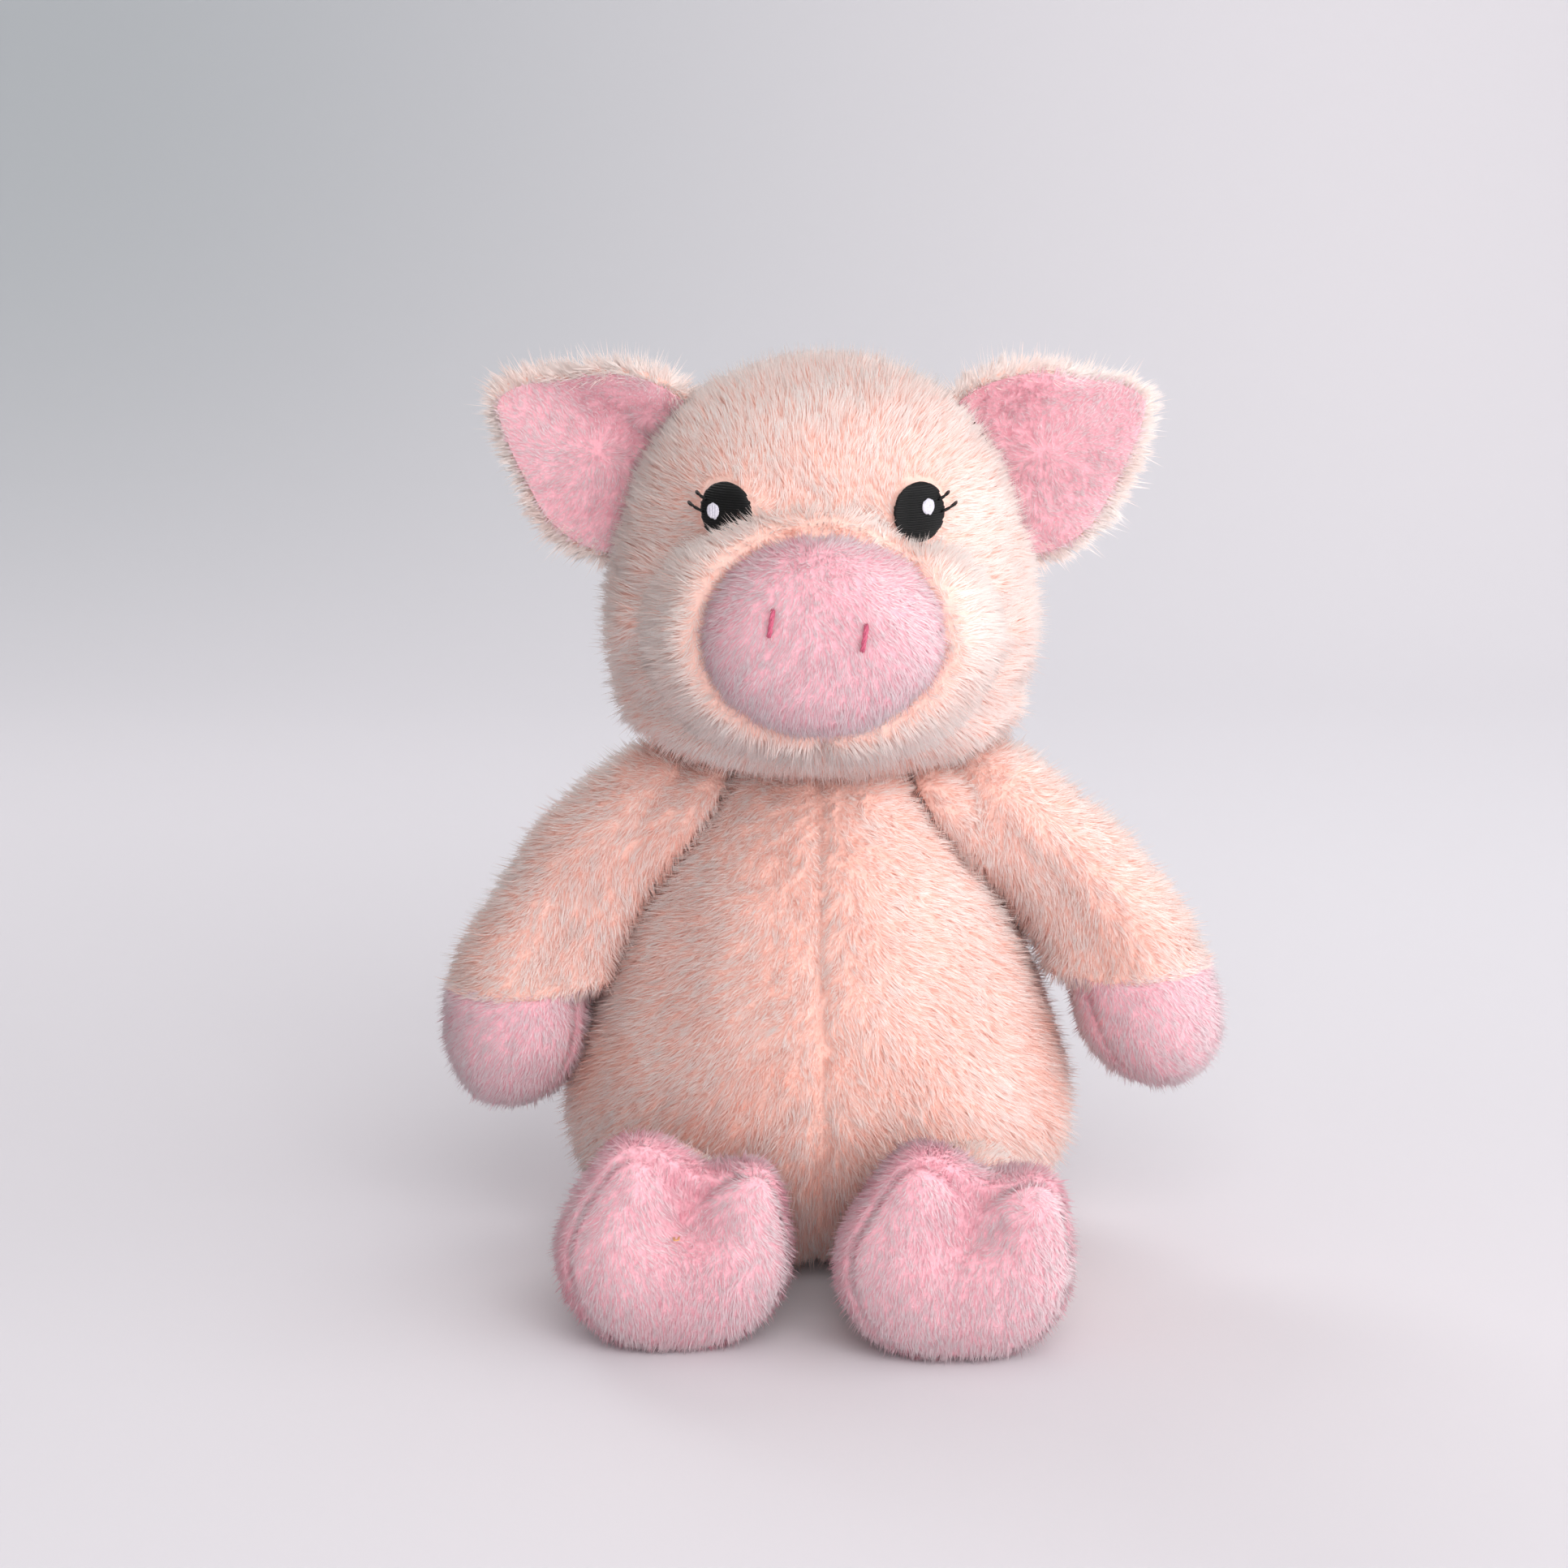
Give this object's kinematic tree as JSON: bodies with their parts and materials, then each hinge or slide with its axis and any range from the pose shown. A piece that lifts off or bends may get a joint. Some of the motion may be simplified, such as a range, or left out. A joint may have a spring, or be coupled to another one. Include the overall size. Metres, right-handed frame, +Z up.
{
  "type": "sitting plush pig",
  "caption": "Soft stuffed pig that sits upright, with cupped ears, a domed snout pad, mitt hands and round feet with drawn-in soles.",
  "frame": {"origin": "on the surface the toy sits on, under the middle of its overall box", "axes": "+Z up; the face looks along -Y, so the pig's own left is +X"},
  "size_m": [0.1844, 0.1496, 0.215],
  "materials": {
    "cream_plush": "matte",
    "pink_minky": "matte",
    "polyester_fill": "matte",
    "pellet_fill": "matte",
    "black_thread": "satin",
    "pale_thread": "satin",
    "rose_thread": "satin"
  },
  "bodies": {
    "torso": {"torso_front_left": "cream_plush", "torso_front_right": "cream_plush", "torso_back": "cream_plush", "torso_stuffing": "polyester_fill", "pellet_bag": "pellet_fill", "tail": "cream_plush"},
    "head": {"face_panel": "cream_plush", "head_back": "cream_plush", "head_stuffing": "polyester_fill", "muzzle_cover": "cream_plush", "snout_pad": "pink_minky", "eye_left": "black_thread", "eye_right": "black_thread", "eye_glint_left": "pale_thread", "eye_glint_right": "pale_thread", "nostril_stitch_left": "rose_thread", "nostril_stitch_right": "rose_thread"},
    "ear_left": {"ear_back_left": "cream_plush", "ear_lining_left": "pink_minky"},
    "ear_right": {"ear_back_right": "cream_plush", "ear_lining_right": "pink_minky"},
    "arm_left": {"arm_sleeve_left": "cream_plush", "hand_left": "pink_minky", "arm_stuffing_left": "polyester_fill"},
    "arm_right": {"arm_sleeve_right": "cream_plush", "hand_right": "pink_minky", "arm_stuffing_right": "polyester_fill"},
    "leg_left": {"leg_sleeve_left": "cream_plush", "foot_upper_left": "pink_minky", "foot_sole_left": "pink_minky", "leg_stuffing_left": "polyester_fill"},
    "leg_right": {"leg_sleeve_right": "cream_plush", "foot_upper_right": "pink_minky", "foot_sole_right": "pink_minky", "leg_stuffing_right": "polyester_fill"}
  },
  "joints": [
    {"name": "neck", "type": "hinge", "parent": "torso", "child": "head", "pos_m": [-0.00309, 0.01252, 0.117], "axis": [0, 0, 1], "range_deg": [-20, 20], "stiffness_Nm_per_rad": 0.05},
    {"name": "shoulder_left", "type": "hinge", "parent": "torso", "child": "arm_left", "pos_m": [0.03191, 0.01252, 0.1125], "axis": [0, -1, 0], "range_deg": [0, 30], "stiffness_Nm_per_rad": 0.03},
    {"name": "shoulder_right", "type": "hinge", "parent": "torso", "child": "arm_right", "pos_m": [-0.03809, 0.01252, 0.1125], "axis": [0, 1, 0], "range_deg": [0, 30], "stiffness_Nm_per_rad": 0.03},
    {"name": "hip_left", "type": "hinge", "parent": "torso", "child": "leg_left", "pos_m": [0.02091, 0.00652, 0.022], "axis": [0, 0, 1], "range_deg": [0, 22], "stiffness_Nm_per_rad": 0.03},
    {"name": "hip_right", "type": "hinge", "parent": "torso", "child": "leg_right", "pos_m": [-0.02709, 0.00652, 0.022], "axis": [0, 0, -1], "range_deg": [0, 22], "stiffness_Nm_per_rad": 0.03},
    {"name": "ear_root_left", "type": "hinge", "parent": "head", "child": "ear_left", "pos_m": [0.03689, 0.01752, 0.1855], "axis": [-0.4305, 0, 0.9026], "range_deg": [-25, 20], "stiffness_Nm_per_rad": 0.004},
    {"name": "ear_root_right", "type": "hinge", "parent": "head", "child": "ear_right", "pos_m": [-0.04308, 0.01752, 0.1855], "axis": [-0.4305, 0, -0.9026], "range_deg": [-25, 20], "stiffness_Nm_per_rad": 0.004}
  ]
}
